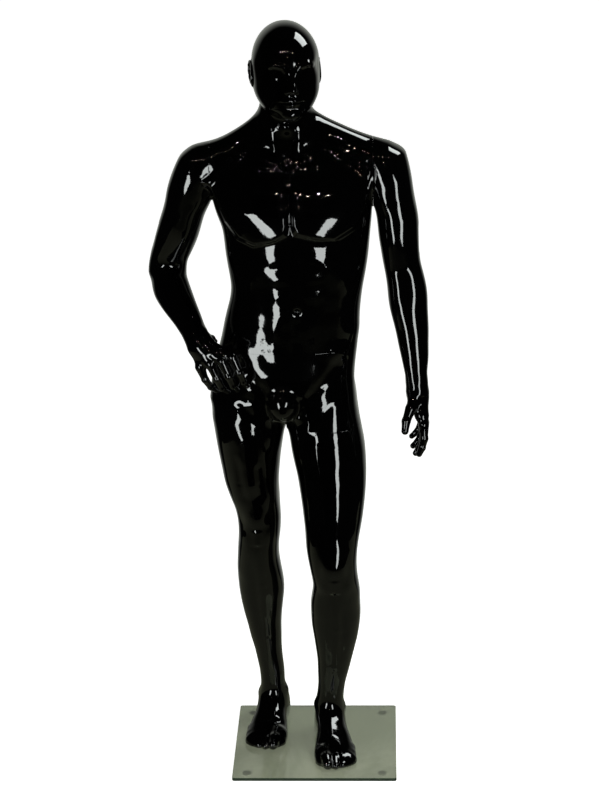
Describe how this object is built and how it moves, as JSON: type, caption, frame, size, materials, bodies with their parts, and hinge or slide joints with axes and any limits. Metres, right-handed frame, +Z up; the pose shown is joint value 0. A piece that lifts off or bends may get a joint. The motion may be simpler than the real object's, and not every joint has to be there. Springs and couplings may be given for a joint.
{
  "type": "full body mannequin",
  "caption": "Full-body male shop mannequin in gloss black, hand on hip, with lift-off torso, turning arms, hands and leg, on a foot rod and square glass base.",
  "frame": {"origin": "on the floor under the middle of the figure's overall width and depth", "axes": "+Z up, the figure faces -Y, its left side is +X"},
  "size_m": [0.6681, 0.4047, 1.813],
  "materials": {
    "gloss_black": "high-gloss lacquer over moulded fibreglass-reinforced plastic",
    "laminate": "bare glass-fibre laminate, dull",
    "zinc_steel": "zinc-plated, satin",
    "base_glass": "polished tempered glass",
    "clear_rubber": "clear soft bumper",
    "washer_rubber": "dull black"
  },
  "bodies": {
    "stand": {"glass_base": "base_glass", "base_pad_1": "clear_rubber", "base_pad_2": "clear_rubber", "base_pad_3": "clear_rubber", "base_pad_4": "clear_rubber", "foot_rod": "zinc_steel", "rod_flange": "zinc_steel", "rod_washer": "washer_rubber"},
    "lower_body": {"lower_body_shell": "gloss_black", "foot_socket": "zinc_steel", "socket_disc": "zinc_steel", "waist_lid_inner": "laminate", "waist_socket_plate": "zinc_steel", "waist_inner_screw_1": "zinc_steel", "waist_inner_screw_2": "zinc_steel", "left_thigh_lid_inner": "laminate", "left_thigh_socket_plate": "zinc_steel", "left_thigh_inner_screw_1": "zinc_steel", "left_thigh_inner_screw_2": "zinc_steel"},
    "left_leg": {"left_leg_shell": "gloss_black", "left_thigh_lid_outer": "laminate", "left_thigh_stud": "zinc_steel", "left_thigh_outer_screw_1": "zinc_steel", "left_thigh_outer_screw_2": "zinc_steel"},
    "upper_body": {"upper_body_shell": "gloss_black", "waist_lid_outer": "laminate", "waist_stud": "zinc_steel", "waist_outer_screw_1": "zinc_steel", "waist_outer_screw_2": "zinc_steel", "right_shoulder_lid_inner": "laminate", "right_shoulder_socket_plate": "zinc_steel", "right_shoulder_inner_screw_1": "zinc_steel", "right_shoulder_inner_screw_2": "zinc_steel", "left_shoulder_lid_inner": "laminate", "left_shoulder_socket_plate": "zinc_steel", "left_shoulder_inner_screw_1": "zinc_steel", "left_shoulder_inner_screw_2": "zinc_steel"},
    "right_arm": {"right_arm_shell": "gloss_black", "right_shoulder_lid_outer": "laminate", "right_shoulder_stud": "zinc_steel", "right_shoulder_outer_screw_1": "zinc_steel", "right_shoulder_outer_screw_2": "zinc_steel", "right_wrist_socket": "zinc_steel"},
    "left_arm": {"left_arm_shell": "gloss_black", "left_shoulder_lid_outer": "laminate", "left_shoulder_stud": "zinc_steel", "left_shoulder_outer_screw_1": "zinc_steel", "left_shoulder_outer_screw_2": "zinc_steel", "left_wrist_socket": "zinc_steel"},
    "right_hand": {"right_hand_shell": "gloss_black", "right_wrist_peg": "zinc_steel"},
    "left_hand": {"left_hand_shell": "gloss_black", "left_wrist_peg": "zinc_steel"}
  },
  "joints": [
    {"name": "rod_lift", "type": "slide", "parent": "stand", "child": "lower_body", "axis": [0, 0, 1], "range_m": [0, 0.165]},
    {"name": "left_thigh_turn", "type": "hinge", "parent": "lower_body", "child": "left_leg", "pos_m": [0.083, 0.075, 0.836], "axis": [0, 0, 1], "range_deg": [0, 20]},
    {"name": "waist_lift", "type": "slide", "parent": "lower_body", "child": "upper_body", "axis": [0, 0, 1], "range_m": [0, 0.06]},
    {"name": "right_shoulder_turn", "type": "hinge", "parent": "upper_body", "child": "right_arm", "pos_m": [-0.1765, 0.088, 1.432], "axis": [-1, 0, 0], "range_deg": [0, 60]},
    {"name": "left_shoulder_turn", "type": "hinge", "parent": "upper_body", "child": "left_arm", "pos_m": [0.205, 0.085, 1.432], "axis": [-1, 0, 0], "range_deg": [0, 90]},
    {"name": "right_wrist_turn", "type": "hinge", "parent": "right_arm", "child": "right_hand", "pos_m": [-0.21241, -0.00014, 1.06878], "axis": [0.379, -0.6912, -0.6153], "range_deg": [-15, 12]},
    {"name": "left_wrist_turn", "type": "hinge", "parent": "left_arm", "child": "left_hand", "pos_m": [0.3065, 0.036, 0.936], "axis": [0, 0, 1], "range_deg": [-45, 45]}
  ]
}
